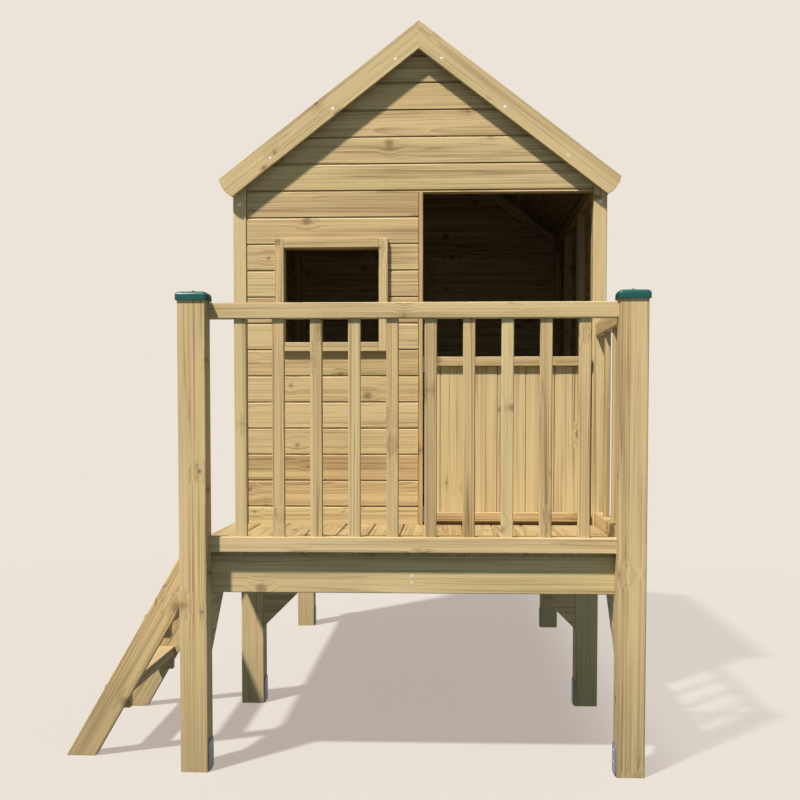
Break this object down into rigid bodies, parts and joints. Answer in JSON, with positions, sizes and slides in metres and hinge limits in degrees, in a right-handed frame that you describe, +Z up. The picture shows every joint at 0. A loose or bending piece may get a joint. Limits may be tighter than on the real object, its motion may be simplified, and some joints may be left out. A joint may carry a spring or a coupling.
{
  "type": "stilt playhouse",
  "caption": "Wooden playhouse raised on posts, with a railed porch, side ladder, half door, open window and a pitched board roof.",
  "frame": {"origin": "on the ground, at the middle of the whole part's box", "axes": "+Z up, +Y from the porch to the rear wall, +X to the right seen from the front"},
  "size_m": [1.537, 2.376, 2.099],
  "materials": {
    "post_pine": "planed pressure-treated pine posts",
    "bearer_pine": "planed pressure-treated pine, in the deck's shade",
    "deck_pine": "planed pressure-treated pine boards",
    "rail_pine": "planed pressure-treated pine",
    "ladder_pine": "planed pressure-treated pine",
    "wall_pine": "planed pine shiplap",
    "trim_pine": "planed pine trim",
    "roof_pine": "planed pine boards",
    "door_pine": "planed V-jointed pine boards",
    "cap_plastic": "glossy dark green moulding",
    "hinge_steel": "bright zinc plate"
  },
  "bodies": {
    "playhouse": {"post_front_left": "post_pine", "post_middle_left": "post_pine", "post_rear_left": "post_pine", "cap_left": "cap_plastic", "joist_left": "bearer_pine", "brace_side_left": "bearer_pine", "brace_middle_left": "bearer_pine", "corner_trim_left": "trim_pine", "wall_left": "wall_pine", "roof_left": "roof_pine", "barge_front_left": "trim_pine", "barge_rear_left": "trim_pine", "post_front_right": "post_pine", "post_middle_right": "post_pine", "post_rear_right": "post_pine", "cap_right": "cap_plastic", "joist_right": "bearer_pine", "brace_side_right": "bearer_pine", "brace_middle_right": "bearer_pine", "corner_trim_right": "trim_pine", "wall_right": "wall_pine", "roof_right": "roof_pine", "barge_front_right": "trim_pine", "barge_rear_right": "trim_pine", "beam_front": "bearer_pine", "beam_middle": "bearer_pine", "beam_rear": "bearer_pine", "joist_centre": "bearer_pine", "deck_boards": "deck_pine", "rail_front_top": "rail_pine", "rail_front_bottom": "rail_pine", "rail_side_top": "rail_pine", "rail_side_bottom": "rail_pine", "baluster_front_1": "rail_pine", "baluster_front_2": "rail_pine", "baluster_front_3": "rail_pine", "baluster_front_4": "rail_pine", "baluster_front_5": "rail_pine", "baluster_front_6": "rail_pine", "baluster_front_7": "rail_pine", "baluster_front_8": "rail_pine", "baluster_front_9": "rail_pine", "baluster_front_10": "rail_pine", "baluster_side_1": "rail_pine", "baluster_side_2": "rail_pine", "baluster_side_3": "rail_pine", "stringer_front": "ladder_pine", "stringer_rear": "ladder_pine", "tread_1": "ladder_pine", "tread_2": "ladder_pine", "wall_front": "wall_pine", "wall_rear": "wall_pine", "window_surround": "trim_pine", "hinge_lower_jamb_leaf": "hinge_steel", "hinge_upper_jamb_leaf": "hinge_steel"},
    "door": {"door_boards": "door_pine", "door_ledge_bottom": "door_pine", "door_ledge_top": "door_pine", "hinge_lower_door_leaf": "hinge_steel", "hinge_upper_door_leaf": "hinge_steel"}
  },
  "joints": [
    {"name": "door_hinge", "type": "hinge", "parent": "playhouse", "child": "door", "pos_m": [0.17219, -0.421, 0.8335], "axis": [0, 0, 1], "range_deg": [-175, 0]}
  ]
}
